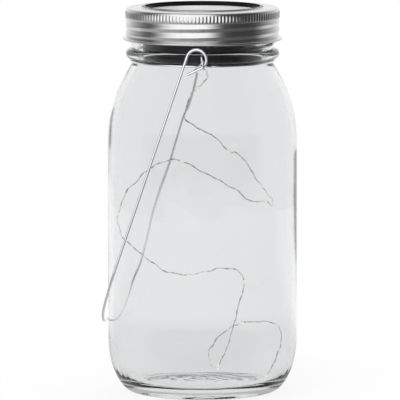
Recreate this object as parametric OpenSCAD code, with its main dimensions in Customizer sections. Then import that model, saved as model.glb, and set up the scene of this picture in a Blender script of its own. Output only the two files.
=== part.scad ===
// Mason jar lantern: a half-gallon wide-mouth glass jar, a screw band, a solar light unit
// that drops into the mouth, a neck wire with two ears, and a swinging wire bail.
// Millimetres, +Z up, origin on the jar's axis at the surface it stands on.

/* [Jar] */
// Outer diameter of the straight glass wall
body_d = 111.4; // [106:0.2:116]
// Height of the rim above the foot
rim_z = 223.2; // [215:0.2:240]
// Thickness of the glass wall
glass_t = 3.3; // [2.6:0.1:3.6]
// Diameter of the ring the jar stands on
foot_d = 83.6; // [76:0.2:92]
// Height of the rounded heel
heel_h = 31.3; // [24:0.1:38]
// Thickness of the glass at the bottom
base_t = 5.4; // [4.6:0.1:7]
// Rise of the push-up under the base
push_up = 3.2; // [1.5:0.1:4]
// Height of the shoulder, from the straight wall to the neck
shoulder_h = 51.1; // [44:0.1:60]
// Outer diameter of the neck between bead and thread
neck_d = 83.4; // [82.8:0.1:83.8]
// Height of the neck, from the shoulder to the rim
neck_h = 30.1; // [29.6:0.1:34]
// Inner diameter of the mouth
mouth_d = 76.6; // [75:0.1:77.4]
// Outer diameter of the bead under the band
bead_d = 90.1; // [89:0.1:91]
// Depth of the bead's middle below the rim
bead_drop = 23.9; // [23.4:0.1:24.4]
// Outer diameter of the thread
thread_d = 87.6; // [86.4:0.1:87.8]
// Rise of the thread in one turn
thread_pitch = 5; // [4.6:0.1:5.2]
// Width of a thread ridge
thread_w = 1.8; // [1.4:0.1:2.2]

/* [Screw band] */
// Outer diameter of the band's side
band_d = 89.7; // [89.5:0.1:91]
// Thickness of the sheet the band is drawn from
band_t = 0.5; // [0.4:0.05:0.6]
// Outer diameter of the curled lip
lip_d = 93.6; // [93:0.1:96]
// Height of the band
band_h = 19; // [18.4:0.1:19.4]
// Diameter of the window in the band's top
window_d = 71.2; // [71:0.1:73]
// Number of knurls round the band
knurl_count = 134; // [60:2:150]
// Height of the knurled zone
knurl_h = 4.6; // [3.8:0.1:5]
// How far the knurls stand out
knurl_out = 0.35; // [0.2:0.05:0.5]
// How far the rolled thread swells and dips
roll_depth = 0.25; // [0.15:0.05:0.3]

/* [Light unit] */
// Outer diameter of the housing cup in the mouth
cup_d = 70; // [69:0.1:70.4]
// Depth of the cup below the rim
cup_drop = 29.2; // [28.6:0.1:32]
// Thickness of the housing's walls
cup_wall = 1.5; // [1.2:0.1:1.8]
// Outer diameter of the housing's flange
flange_d = 85.6; // [84:0.1:87]
// Thickness of the housing's flange
flange_t = 1.4; // [1.2:0.1:1.6]
// Height of the housing's top edge above the band
edge_rise = 0.9; // [0.3:0.1:1.5]
// Thickness of the gasket
gasket_t = 1; // [0.8:0.1:1.4]
// Depth of the window's clear cover below the housing's edge
cover_sink = 2.6; // [1.5:0.1:2.8]
// Thickness of the clear cover
cover_t = 1.2; // [1:0.1:1.6]
// Side of the square solar cell
cell_w = 46; // [36:1:46]
// Thickness of the solar cell
cell_t = 0.6; // [0.4:0.1:0.8]
// Thickness of the bottom cover
lid_t = 2; // [1.6:0.1:2.4]
// Diameter of the battery
battery_d = 10.5; // [9.6:0.1:10.6]
// Length of the battery, without its nub
battery_l = 43.6; // [40:0.1:44]
// Thickness of the battery cradle's walls
cradle_t = 1.2; // [1:0.1:1.4]
// Length of the circuit board
board_l = 44; // [40:0.5:46]
// Width of the circuit board
board_w = 18; // [16:0.5:19]
// Thickness of the circuit board
board_t = 1.6; // [1.2:0.1:1.8]
// Travel of the switch knob
switch_travel = 2; // [1.5:0.1:2.4]
// Diameter of the cover screws' thread
screw_d = 2.5; // [2.2:0.1:2.8]
// Length of the cover screws
screw_l = 8; // [6:0.5:10]

/* [Light string] */
// Diameter of the twisted light string
string_d = 0.9; // [0.7:0.05:1.1]
// Diameter of the clear drop round each light
drop_d = 3.1; // [2.6:0.1:3.3]

/* [Neck wire and bail] */
// Diameter of the neck wire
neck_wire_d = 1.5; // [1.2:0.05:1.6]
// Diameter of the twisted ears on the neck wire
ear_d = 1.8; // [1.4:0.05:1.8]
// Diameter of the bail wire
bail_wire_d = 1.6; // [1.2:0.05:1.6]
// Gap from the glass to the middle of each leg of the bail
leg_gap = 1.3; // [1.1:0.1:3]
// Length of the bail, from its pivot height to its crown
bail_l = 168; // [150:0.5:172]
// Height of the bail's arched crown
crown_h = 38; // [36:0.5:48]
// Radius of the crown's corners
crown_r = 32.5; // [28:0.5:34]
// Radius of each hook, to the middle of the wire
hook_r = 5.7; // [5.6:0.05:6.2]
// Length of each hook's straight end
hook_tail = 8.6; // [6:0.1:9.4]
// How far each hook carries its leg to the side of the ear
hook_shift = 6.5; // [6:0.1:6.8]
// Height of the bar across the end of each ear
ear_bar_h = 9; // [6:0.1:10]

/* [Hidden] */

$fn = 96;
fit_gap = 0.1;        // between flat faces that only rest on each other
run_gap = 0.3;        // between pieces that move past each other
eps = 0.01;

// Jar
body_r = body_d / 2;
foot_r = foot_d / 2;
neck_r = neck_d / 2;
mouth_r = mouth_d / 2;
bead_r = bead_d / 2;
bead_z = rim_z - bead_drop;
neck_z = rim_z - neck_h;
shoulder_z = neck_z - shoulder_h;
inner_r = body_r - glass_t;
thread_r = thread_d / 2;

bead_round = 3;       // radius of the bead's rounded edge
groove_r = neck_r - 0.3;

// Neck wire, in the groove under the bead
ring_r = groove_r + 0.2 + neck_wire_d / 2;
ring_z = bead_z - bead_round - neck_wire_d / 2 - 0.25;
ear_z = bead_z - 0.3;
ear_r = ear_d / 2;
strand_r = 0.65;
leg_y = body_r + leg_gap;
ear_root_y = bead_r + 2.15;
ear_foot_out = 0.6;   // the strand's foot outside the ring's middle line
ear_foot_drop = 0.5;  // and below it, so that the strand clears the bead
ear_bar_y = leg_y + 2.9;

// Bail: legs and crown lie in one plane, each hook in a plane across its leg
bail_r = bail_wire_d / 2;
bail_yaw = asin(hook_shift / leg_y);
bail_x = -3.15;
hook_up = 2.4;        // the hook's centre above the pivot height
pivot_drop = 1.2;     // the ear below the point the bail's length is measured from
bail_z = ear_z + pivot_drop;
rest_r = body_r + run_gap + bail_r;
lean_x = bail_x * cos(bail_yaw) + sqrt(pow(rest_r, 2) - pow(bail_x * sin(bail_yaw), 2));
bail_lean = asin(lean_x / bail_l);
hook_sweep = 226;
crown_R = (pow(leg_y - crown_r, 2) - pow(crown_r, 2) + pow(crown_h, 2))
    / (2 * (crown_h - crown_r));
crown_a = atan2(leg_y - crown_r, crown_R - crown_h);

// Light unit
gasket_z = rim_z + fit_gap;
flange_z = gasket_z + gasket_t;
flange_top = flange_z + flange_t;
band_top = flange_top + fit_gap + band_t;
cup_top = band_top + edge_rise;
cup_r = cup_d / 2;
cup_bottom = rim_z - cup_drop;
cup_in_r = cup_r - cup_wall;
edge_r = cup_r + 0.2;
window_r = window_d / 2;
cover_top = cup_top - cover_sink;
cell_top = cover_top - cover_t;
cell_z = cell_top - cell_t;
floor_z = cell_z - cup_wall;
lid_top = cup_bottom + lid_t;
flange_r = flange_d / 2;
battery_r = battery_d / 2;
battery_z = lid_top + cradle_t + battery_r;
battery_y = 3;
spring_l = 3.2;
nub_l = 0.9;
plate_t = 0.5;
cradle_l = battery_l + nub_l + plate_t + spring_l + 2 * cradle_t;
cradle_w = battery_d + 2 * cradle_t + 0.4;
cradle_h = cradle_t + battery_d * 0.8;
battery_x = -cradle_l / 2 + cradle_t + spring_l;
board_y = -15;
board_z = floor_z - 6;
board_post = [board_l / 2 - 4, 4];
lead_x = 6;
lead_r = 0.6;
string_r = string_d / 2;
exit_xy = [0, -14];
exit_z = cup_bottom - 4;
switch_xy = [13, -16];
switch_size = [8.6, 4.4, 3.6];
knob_size = [1.6, 1.8];
knob_out = 1.4;       // how far the knob stands out under the bottom cover
screw_r = screw_d / 2;
boss_r = screw_r + 1.2;
boss_turns = [30, 150, 270];
boss_out = cup_in_r - 4;
head_r = screw_r + 1;
head_h = 1.2;
post_r = 2;
post_screw_r = 0.8;
post_screw_l = 5.4;
grommet_r = string_r + 1.6;
grommet_lip = 1;
slot_size = knob_size + [switch_travel + 2 * run_gap, 2 * run_gap];

// Screw band
band_r = band_d / 2;
band_foot = band_top - band_h;
band_round = 1.6;
lip_r = 0.75;
knurl_z = band_top - 1.5 - knurl_h;
roll_top = knurl_z - 0.3;
roll_foot = band_foot + 2.4;

// Points that the light string passes, from the grommet to its end inside the jar
string_route = [
    [0, -14, 190], [3, -12, 185], [-3, -8, 179], [-7, 2, 175], [-10, -3, 162],
    [-2, -10, 156], [8, -18, 151], [15, -25, 144], [19, -27, 144], [25, -27, 138],
    [31, -28, 128], [40, -17, 115], [40, -12, 111], [37, -8, 113], [29, -2, 112],
    [20, 4, 118], [6, 9, 125], [-12, 15, 134], [-20, 16, 134], [-30, 18, 130],
    [-44, 11, 118], [-50, 2, 104], [-50, -1, 97], [-44, -4, 88], [-24, -2, 72],
    [-9, 2, 68], [9, 18, 69], [20, 16, 69], [25, 6, 63], [22, -2, 53],
    [15, -12, 28], [9, -18, 17], [4, -22, 20], [5, -20, 28], [13, -14, 36],
    [23, -4, 40], [35, 1, 40], [43, 4, 38], [47, 3, 29], [38, -11, 9]];
// Points of the route that carry a light
led_at = [2, 7, 13, 17, 21, 25, 28, 31, 35, 39];
string_steps = 2;     // rings for each stretch of the route
string_sides = 8;

// Point at t on the smooth curve through p
function curve(a, b, c, d, t) = 0.5 * (2 * b + (c - a) * t
    + (2 * a - 5 * b + 4 * c - d) * t * t + (3 * b - a - 3 * c + d) * t * t * t);
function smooth(p, steps) = [for (i = [0 : len(p) - 2], k = [0 : steps - 1])
    curve(p[max(i - 1, 0)], p[i], p[i + 1], p[min(i + 2, len(p) - 1)], k / steps),
    p[len(p) - 1]];
function unit(v) = v / norm(v);
function along(p, i) = unit(p[min(i + 1, len(p) - 1)] - p[max(i - 1, 0)]);
// Side direction carried from ring to ring without a twist
function carried(s, t) = unit(s - (s * t) * t);
function sides(p, s, i = 0) = i == len(p) ? []
    : let (n = carried(s, along(p, i))) concat([n], sides(p, n, i + 1));
function bezier(a, b, c, d, steps, from = 0) = [for (i = [from : steps])
    let (t = i / steps, u = 1 - t)
    u * u * u * a + 3 * u * u * t * b + 3 * u * t * t * c + t * t * t * d];
function arc(c, r, a0, a1, steps) = [for (i = [0 : steps])
    let (a = a0 + (a1 - a0) * i / steps) c + r * [cos(a), sin(a)]];

// Round wire of n sides through the points p; side is any direction across its start
module wire(p, r, n, side = [1, 0, 0]) {
    s = sides(p, side);
    rings = [for (i = [0 : len(p) - 1], k = [0 : n - 1])
        let (t = along(p, i), a = 360 * k / n)
        p[i] + r * (cos(a) * s[i] + sin(a) * cross(t, s[i]))];
    last = (len(p) - 1) * n;
    faces = concat([[for (k = [0 : n - 1]) k]],
        [for (i = [0 : len(p) - 2], k = [0 : n - 1]) each
            let (a = i * n + k, b = i * n + (k + 1) % n)
            [[a, a + n, b], [b, a + n, b + n]]],
        [[for (k = [n - 1 : -1 : 0]) last + k]]);
    polyhedron(rings, faces);
}

// Straight round bar between two points
module bar(a, b, r) {
    d = b - a;
    translate(a)
        rotate([0, acos(d.z / norm(d)), atan2(d.y, d.x)])
            cylinder(r = r, h = norm(d), $fn = 24);
}

module jar() {
    heel = bezier([foot_r, 0], [foot_r + (body_r - foot_r) * 0.43, 0],
        [body_r, heel_h * 0.43], [body_r, heel_h], 14);
    shoulder = bezier([body_r, shoulder_z], [body_r, shoulder_z + shoulder_h * 0.617],
        [neck_r + 5.6, neck_z - 10.6], [neck_r + 0.2, neck_z], 16);
    inner_heel = bezier([foot_r - 7, base_t], [foot_r + 3.6, base_t],
        [inner_r, base_t + 9], [inner_r, heel_h + 2], 14);
    inner_shoulder = bezier([inner_r, shoulder_z], [inner_r, shoulder_z + shoulder_h * 0.6],
        [mouth_r + 5.6, neck_z - 13], [mouth_r, neck_z - 1], 16);
    color("lightcyan", 0.35)
        rotate_extrude($fn = 128) {
            difference() {
                polygon(concat([[0, push_up], [foot_r * 0.5, push_up * 0.8],
                    [foot_r - 9, 0.5], [foot_r - 8, 0]], heel, shoulder,
                    [[groove_r, neck_z + 1.4], [groove_r, bead_z - bead_round + 0.3],
                    [neck_r, bead_z - bead_round + 0.6], [neck_r, rim_z - 1],
                    [neck_r - 0.6, rim_z], [0, rim_z]]));
                polygon(concat([[0, base_t]], inner_heel, inner_shoulder,
                    [[mouth_r, rim_z + 1], [0, rim_z + 1]]));
            }
            intersection() {
                translate([bead_r - bead_round, bead_z])
                    circle(r = bead_round, $fn = 48);
                translate([mouth_r + 1, bead_z - bead_round - 1])
                    square([bead_r, 2 * bead_round + 2]);
            }
            for (k = [0, 1])
                translate([0, rim_z - 6.6 - k * thread_pitch])
                    polygon([[mouth_r + 1, -thread_w / 2 - 0.5], [neck_r, -thread_w / 2 - 0.5],
                        [thread_r, -thread_w / 4], [thread_r, thread_w / 4],
                        [neck_r, thread_w / 2 + 0.5], [mouth_r + 1, thread_w / 2 + 0.5]]);
        }
}

// One ear at the side s: a strand up from the ring, a stem through the hook, a bar at its end
module ear(s) {
    root = [0, s * ear_root_y, ear_z];
    bar([0, s * (ring_r + ear_foot_out), ring_z - ear_foot_drop], root, strand_r);
    translate(root)
        sphere(r = ear_r + 0.05, $fn = 32);
    bar(root, [0, s * ear_bar_y, ear_z], ear_r);
    translate([0, s * ear_bar_y, ear_z - ear_bar_h / 2])
        cylinder(r = strand_r, h = ear_bar_h, $fn = 24);
}

module neck_wire() {
    color("silver") {
        translate([0, 0, ring_z])
            rotate_extrude($fn = 128)
                translate([ring_r, 0])
                    circle(d = neck_wire_d, $fn = 24);
        for (s = [-1, 1])
            ear(s);
    }
}

// Hook at the front, from its free end to the top of its leg, in the leg's own frame
function hook() = let (c = [hook_r, hook_up], a = 180 - hook_sweep,
    end = c + hook_r * [cos(a), sin(a)] + hook_tail * [sin(a), -cos(a)])
    [for (q = concat([end], arc(c, hook_r, a, 180, 20))) [q.x, -leg_y, q.y]];

// The whole bail wire, hook to hook, with local Z up along its legs
function bail_path() = let (front = hook(), c = [leg_y - crown_r, crown_h - bail_l],
    low = concat(arc([-c.x, c.y], crown_r, 180, 270 - crown_a, 8),
        arc([0, crown_R - bail_l], crown_R, 270 - crown_a, 270 + crown_a, 12),
        arc(c, crown_r, 270 + crown_a, 360, 8)))
    concat(front, [for (i = [0 : len(low) - 1]) if (i != 9 && i != 22) [0, low[i].x, low[i].y]],
        [for (i = [len(front) - 1 : -1 : 0]) [-front[i].x, -front[i].y, front[i].z]]);

module bail() {
    color("gainsboro")
        translate([bail_x, 0, bail_z])
            rotate([0, 0, -bail_yaw])
                rotate([0, bail_lean, 0])
                    wire(bail_path(), bail_r, 12, [0, 1, 0]);
}

module screw_band() {
    roll = [for (i = [0 : 20]) let (z = roll_top - (roll_top - roll_foot) * i / 20)
        [band_r + roll_depth * cos(360 * (z - roll_top + thread_pitch / 2) / thread_pitch), z]];
    shoulder = arc([band_r - band_round, band_top - band_round], band_round, 90, 0, 6);
    skirt = [[band_r - roll_depth * 0.6, roll_foot - 0.6],
        [lip_d / 2 - lip_r - 0.6, band_foot + lip_r + 0.5]];
    outer = concat([[window_r, band_top]], shoulder, [[band_r, roll_top + 0.6]], roll, skirt);
    inner = concat([[window_r, band_top - band_t]],
        arc([band_r - band_round, band_top - band_round], band_round - band_t, 90, 0, 6),
        [[band_r - band_t, roll_top + 0.6]], [for (p = roll) p - [band_t, 0]],
        [skirt[0] - [band_t, 0.2], skirt[1] - [0.2, band_t]]);
    color("silver") {
        rotate_extrude($fn = 128)
            polygon(concat(outer, [for (i = [len(inner) - 1 : -1 : 0]) inner[i]]));
        translate([0, 0, band_foot + lip_r])
            rotate_extrude($fn = 128)
                translate([lip_d / 2 - lip_r, 0])
                    circle(r = lip_r, $fn = 24);
        translate([0, 0, knurl_z])
            linear_extrude(knurl_h)
                difference() {
                    polygon([for (i = [0 : 2 * knurl_count - 1])
                        let (a = 180 * i / knurl_count, r = band_r + 0.05 + (i % 2) * knurl_out)
                        r * [cos(a), sin(a)]]);
                    circle(r = band_r - band_t / 2, $fn = 128);
                }
    }
}

module gasket() {
    color("dimgray")
        translate([0, 0, gasket_z])
            difference() {
                cylinder(r = neck_r, h = gasket_t);
                translate([0, 0, -1])
                    cylinder(r = mouth_r + 0.3, h = gasket_t + 2);
            }
}

// Places of the three screw bosses, each with +X outward
module at_bosses() {
    for (a = boss_turns)
        rotate([0, 0, a])
            translate([boss_out, 0, 0])
                children();
}

// Places of the two posts that carry the circuit board
module at_posts() {
    for (x = [-1, 1])
        translate([x * board_post.x, board_y + board_post.y, 0])
            children();
}

module lid_housing() {
    color([0.06, 0.06, 0.07])
        difference() {
            union() {
                translate([0, 0, cup_bottom])
                    cylinder(r = cup_r, h = cup_top - cup_bottom);
                translate([0, 0, flange_z])
                    cylinder(r = flange_r, h = flange_t);
                translate([0, 0, flange_top - eps])
                    cylinder(r = edge_r, h = cup_top - flange_top + eps);
            }
            translate([0, 0, cell_z])
                cylinder(r = cup_in_r, h = cup_top - cell_z + 1);
            difference() {
                translate([0, 0, cup_bottom - 1])
                    cylinder(r = cup_in_r, h = floor_z - cup_bottom + 1);
                at_bosses()
                    translate([0, 0, lid_top + fit_gap]) {
                        cylinder(r = boss_r, h = floor_z - lid_top, $fn = 32);
                        translate([0, -cup_wall / 2, 0])
                            cube([cup_r - cup_wall / 2 - boss_out, cup_wall, floor_z - lid_top]);
                    }
                at_posts()
                    translate([0, 0, board_z + board_t])
                        cylinder(r = post_r, h = floor_z - board_z, $fn = 32);
            }
            at_bosses()
                translate([0, 0, lid_top])
                    cylinder(r = screw_r + 0.05, h = screw_l, $fn = 24);
            at_posts()
                translate([0, 0, board_z])
                    cylinder(r = post_screw_r + 0.05, h = post_screw_l + 0.3, $fn = 24);
            for (x = [-1, 1])
                translate([x * lead_x, board_y, floor_z - 1])
                    cylinder(r = lead_r + 0.2, h = cup_wall + 2, $fn = 24);
        }
}

module solar_cell() {
    color([0.09, 0.1, 0.16])
        translate([-cell_w / 2, -cell_w / 2, cell_z + fit_gap / 2])
            cube([cell_w, cell_w, cell_t - fit_gap / 2]);
}

module clear_cover() {
    color("azure", 0.4)
        translate([0, 0, cell_top + fit_gap / 2])
            cylinder(r = cup_in_r - 0.15, h = cover_t - fit_gap / 2);
}

module circuit_board() {
    color("seagreen")
        difference() {
            translate([-board_l / 2, board_y - board_w / 2, board_z])
                cube([board_l, board_w, board_t]);
            at_posts()
                translate([0, 0, board_z - 1])
                    cylinder(r = post_screw_r + 0.1, h = board_t + 2, $fn = 24);
        }
}

module control_chip() {
    color([0.12, 0.12, 0.13])
        translate([8, board_y - 6, board_z + board_t])
            cube([5, 4, 1.5]);
}

module choke_coil() {
    color("saddlebrown")
        translate([-8, board_y - 3, board_z + board_t]) {
            cylinder(r = 2.4, h = 0.8, $fn = 32);
            cylinder(r = 1.7, h = 3.4, $fn = 32);
            translate([0, 0, 2.6])
                cylinder(r = 2.4, h = 0.8, $fn = 32);
        }
}

module board_screws() {
    color("silver")
        at_posts()
            translate([0, 0, board_z]) {
                translate([0, 0, -1])
                    cylinder(r = 2 * post_screw_r, h = 1, $fn = 24);
                cylinder(r = post_screw_r, h = post_screw_l, $fn = 24);
            }
}

module battery_cradle() {
    color([0.1, 0.1, 0.11])
        translate([-cradle_l / 2, battery_y - cradle_w / 2, lid_top])
            difference() {
                cube([cradle_l, cradle_w, cradle_h]);
                translate([cradle_t, cradle_w / 2, battery_z - lid_top])
                    rotate([0, 90, 0])
                        cylinder(r = battery_r + fit_gap, h = cradle_l - 2 * cradle_t);
                translate([cradle_t, cradle_w / 2 - battery_r - fit_gap, battery_z - lid_top])
                    cube([cradle_l - 2 * cradle_t, 2 * (battery_r + fit_gap), cradle_h]);
            }
}

module battery() {
    color("forestgreen")
        translate([battery_x, battery_y, battery_z])
            rotate([0, 90, 0]) {
                cylinder(r = battery_r, h = battery_l);
                cylinder(r = battery_r * 0.35, h = battery_l + nub_l, $fn = 32);
            }
}

module contact_spring() {
    turns = 3;
    coil = [for (i = [0 : turns * 14]) let (t = i / (turns * 14), a = 360 * turns * t,
        r = 3.6 - 1.2 * t)
        [-cradle_l / 2 + cradle_t + 0.35 + t * (spring_l - 0.75),
            battery_y + r * cos(a), battery_z + r * sin(a)]];
    color("silver")
        wire(coil, 0.3, 8);
}

module contact_plate() {
    color("silver")
        translate([cradle_l / 2 - cradle_t - plate_t + 0.02, battery_y - 3, battery_z - 4])
            cube([plate_t - 0.04, 6, 4 + battery_r]);
}

module switch_case() {
    color("gainsboro")
        translate([switch_xy.x, switch_xy.y, lid_top])
            difference() {
                translate([-switch_size.x / 2, -switch_size.y / 2, 0])
                    cube(switch_size);
                translate([-slot_size.x / 2, -slot_size.y / 2, -1])
                    cube([slot_size.x, slot_size.y, 1 + switch_size.z - 1]);
            }
}

module switch_knob() {
    color("whitesmoke")
        translate([switch_xy.x - switch_travel / 2 - knob_size.x / 2,
            switch_xy.y - knob_size.y / 2, cup_bottom - knob_out])
            cube([knob_size.x, knob_size.y, knob_out + lid_t + switch_size.z - 1 - run_gap]);
}

module inner_leads() {
    color("firebrick") {
        for (x = [-1, 1])
            translate([x * lead_x, board_y, board_z + board_t])
                cylinder(r = lead_r, h = cell_z - board_z - board_t, $fn = 16);
        for (x = [-1, 1])
            translate([switch_xy.x + x * 2.5, switch_xy.y, lid_top + switch_size.z])
                cylinder(r = lead_r, h = board_z - lid_top - switch_size.z, $fn = 16);
        translate([exit_xy.x, exit_xy.y, cup_bottom])
            cylinder(r = lead_r, h = board_z - cup_bottom, $fn = 16);
    }
}

module bottom_cover() {
    color([0.08, 0.08, 0.09])
        difference() {
            translate([0, 0, cup_bottom])
                cylinder(r = cup_in_r - 0.15, h = lid_t);
            at_bosses()
                translate([0, 0, cup_bottom - 1]) {
                    cylinder(r = screw_r + 0.15, h = lid_t + 2, $fn = 24);
                    cylinder(r = head_r + 0.15, h = head_h + 1, $fn = 24);
                }
            translate([exit_xy.x, exit_xy.y, cup_bottom - 1])
                cylinder(r = grommet_r + 0.02, h = lid_t + 2, $fn = 32);
            translate([switch_xy.x - slot_size.x / 2, switch_xy.y - slot_size.y / 2,
                cup_bottom - 1])
                cube([slot_size.x, slot_size.y, lid_t + 2]);
        }
}

module cover_screws() {
    color("silver")
        at_bosses()
            translate([0, 0, cup_bottom]) {
                cylinder(r = head_r, h = head_h, $fn = 24);
                cylinder(r = screw_r, h = screw_l, $fn = 24);
            }
}

module wire_grommet() {
    color([0.15, 0.15, 0.15])
        translate([exit_xy.x, exit_xy.y, 0])
            difference() {
                union() {
                    translate([0, 0, cup_bottom - eps])
                        cylinder(r = grommet_r, h = lid_t + grommet_lip, $fn = 32);
                    translate([0, 0, cup_bottom - grommet_lip])
                        cylinder(r = grommet_r + grommet_lip, h = grommet_lip, $fn = 32);
                    translate([0, 0, exit_z])
                        cylinder(r1 = string_r + 0.7, r2 = grommet_r,
                            h = cup_bottom - grommet_lip - exit_z + eps, $fn = 32);
                }
                translate([0, 0, cup_bottom])
                    cylinder(r = lead_r + 0.05, h = lid_t + 2 * grommet_lip, $fn = 24);
            }
}

module light_string() {
    color("lightgray")
        translate([0, 0, exit_z - string_route[0].z])
            wire(smooth(string_route, string_steps), string_r, string_sides);
}

module led(k) {
    color("lightyellow", 0.6)
        translate(string_route[led_at[k]] + [0, 0, exit_z - string_route[0].z])
            sphere(d = drop_d, $fn = 32);
}

jar();
neck_wire();
bail();
screw_band();
gasket();
lid_housing();
solar_cell();
clear_cover();
circuit_board();
control_chip();
choke_coil();
board_screws();
battery_cradle();
battery();
contact_spring();
contact_plate();
switch_case();
switch_knob();
inner_leads();
bottom_cover();
cover_screws();
wire_grommet();
light_string();
led(0);  // led_01
led(1);  // led_02
led(2);  // led_03
led(3);  // led_04
led(4);  // led_05
led(5);  // led_06
led(6);  // led_07
led(7);  // led_08
led(8);  // led_09
led(9);  // led_10
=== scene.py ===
import math

import bpy
from bpy.props import FloatProperty, FloatVectorProperty, IntProperty, PointerProperty
from mathutils import Matrix, Vector


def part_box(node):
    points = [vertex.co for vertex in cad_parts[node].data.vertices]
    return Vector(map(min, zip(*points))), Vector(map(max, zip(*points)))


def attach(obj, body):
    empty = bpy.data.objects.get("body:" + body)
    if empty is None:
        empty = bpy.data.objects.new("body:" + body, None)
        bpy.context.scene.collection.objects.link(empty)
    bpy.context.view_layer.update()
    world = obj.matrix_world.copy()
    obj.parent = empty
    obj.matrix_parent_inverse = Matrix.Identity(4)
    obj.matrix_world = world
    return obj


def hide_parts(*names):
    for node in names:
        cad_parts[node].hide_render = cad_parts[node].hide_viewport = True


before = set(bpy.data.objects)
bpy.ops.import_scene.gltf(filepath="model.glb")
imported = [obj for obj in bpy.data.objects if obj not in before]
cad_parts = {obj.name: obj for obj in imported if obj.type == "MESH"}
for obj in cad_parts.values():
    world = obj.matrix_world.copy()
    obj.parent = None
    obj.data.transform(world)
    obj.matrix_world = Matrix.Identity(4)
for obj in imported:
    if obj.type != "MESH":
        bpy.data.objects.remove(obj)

bl_info = {
    "name": "Mason jar lantern",
    "version": (1, 0, 0),
    "blender": (4, 5, 0),
    "location": "View3D > Sidebar > Jar lantern",
    "description": "Dresses the jar lantern's frame with glass, tinplate, wire and a light unit",
    "category": "Object",
}

MM = 0.001
TURN = 2 * math.pi
DEGREE = math.pi / 180
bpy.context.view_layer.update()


def length(name, description, default, lowest=0):
    """A size in metres that a user may change."""
    return FloatProperty(name=name, description=description, default=default, min=lowest,
                         unit="LENGTH")


def tint(name, description, default):
    """A colour that a user may change."""
    return FloatVectorProperty(name=name, description=description, default=default, size=3,
                               min=0, max=1, subtype="COLOR")


# --- Sizes and colours ---


class JarSettings(bpy.types.PropertyGroup):
    """The glass jar"""
    body_radius: length("Body radius", "Outer radius of the straight wall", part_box("jar")[1].x)
    rim_height: length("Rim height", "Height of the mouth's rim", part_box("jar")[1].z)
    wall: length("Wall", "Thickness of the glass", 3.3 * MM)
    foot_radius: length("Foot radius", "Radius of the ring it stands on", 41.8 * MM)
    heel_height: length("Heel height", "Height of the rounded heel", 31.3 * MM)
    base: length("Base", "Height of the floor inside", 4.6 * MM)
    push_up: length("Push-up", "Rise of the underside's middle", 3.2 * MM)
    neck_radius: length("Neck radius", "Outer radius of the neck", 41.7 * MM)
    neck_height: length("Neck height", "From the shoulder's end to the rim", 30.1 * MM)
    shoulder_height: length("Shoulder height", "From the wall to the neck", 51.1 * MM)
    mouth_radius: length("Mouth radius", "Inner radius of the mouth", 38.3 * MM)
    bead_radius: length("Bead radius", "Outer radius of the bead", 45.05 * MM)
    bead_drop: length("Bead drop", "From the rim down to the bead", 23.9 * MM)
    bead_round: length("Bead round", "Radius of the bead's section", 3 * MM)
    pitch: length("Thread pitch", "Rise of the thread in one turn", 5.08 * MM)
    thread_depth: length("Thread depth", "How far the thread stands out", 2 * MM)
    thread_width: length("Thread width", "Half the width of the thread's ridge", 0.8 * MM)
    pad_height: length("Pad height", "Depth between the foot's pads", 0.22 * MM)
    waviness: length("Waviness", "Unevenness of the wall inside", 0.05 * MM)
    floor_waves: length("Floor waves", "Height of the waves on the floor inside", 0.2 * MM)
    foot_waves: length("Foot waves", "Height of the waves on the underside", 0.12 * MM)
    pads: IntProperty(name="Pads", description="Pads round the foot", default=96, min=12)
    glass_colour: tint("Glass", "Colour of the glass surface", (0.905, 0.905, 0.912))
    depth_colour: tint("Depth", "Colour seen through thick glass", (0.52, 0.64, 0.58))
    steps: IntProperty(name="Steps", description="Facets round the jar", default=192, min=24)


class BandSettings(bpy.types.PropertyGroup):
    """The screw band"""
    top: length("Top", "Height of the band's top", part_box("screw_band")[1].z)
    foot: length("Foot", "Height of the curled lip's underside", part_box("screw_band")[0].z)
    lip_radius: length("Lip radius", "Outer radius of the lip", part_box("screw_band")[1].x)
    side_radius: length("Side radius", "Middle radius of the side", 44.85 * MM)
    window_radius: length("Window radius", "Radius of the hole in the top", 35.6 * MM)
    sheet: length("Sheet", "Thickness of the tinplate", 0.5 * MM)
    knurl_height: length("Knurl height", "Height of the knurled zone", 4.7 * MM)
    knurl_out: length("Knurl depth", "How far the knurls stand out", 0.4 * MM)
    roll_depth: length("Roll depth", "Swell of the rolled thread", 0.28 * MM)
    pitch: length("Thread pitch", "Rise of the thread in one turn", 5.08 * MM)
    knurls: IntProperty(name="Knurls", description="Knurls round the band", default=134, min=12)
    colour: tint("Tinplate", "Colour of the tinplate", (0.64, 0.64, 0.645))


class WireSettings(bpy.types.PropertyGroup):
    """The neck wire with its ears"""
    neck_wire: length("Neck wire", "Radius of the neck wire", 0.75 * MM)
    ring_radius: length("Ring radius", "From the axis to the wire's middle", 42.35 * MM)
    ring_height: length("Ring height", "Height of the wire's middle", 195.3 * MM)
    strand: length("Strand", "Radius of one strand of an ear", 0.46 * MM)
    ear_height: length("Ear height", "Height of the ears' line", 199 * MM)
    ear_root: length("Ear root", "From the axis to where the twist begins", 47.2 * MM)
    eye_wire: length("Eye wire", "Radius of the end eye's wire", 0.55 * MM)
    eye_height: length("Eye height", "Half the height of the end eye", 3.4 * MM)
    eye_width: length("Eye width", "Half the width of the end eye", 0.75 * MM)
    colour: tint("Wire", "Colour of the wire", (0.88, 0.88, 0.95))


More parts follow.
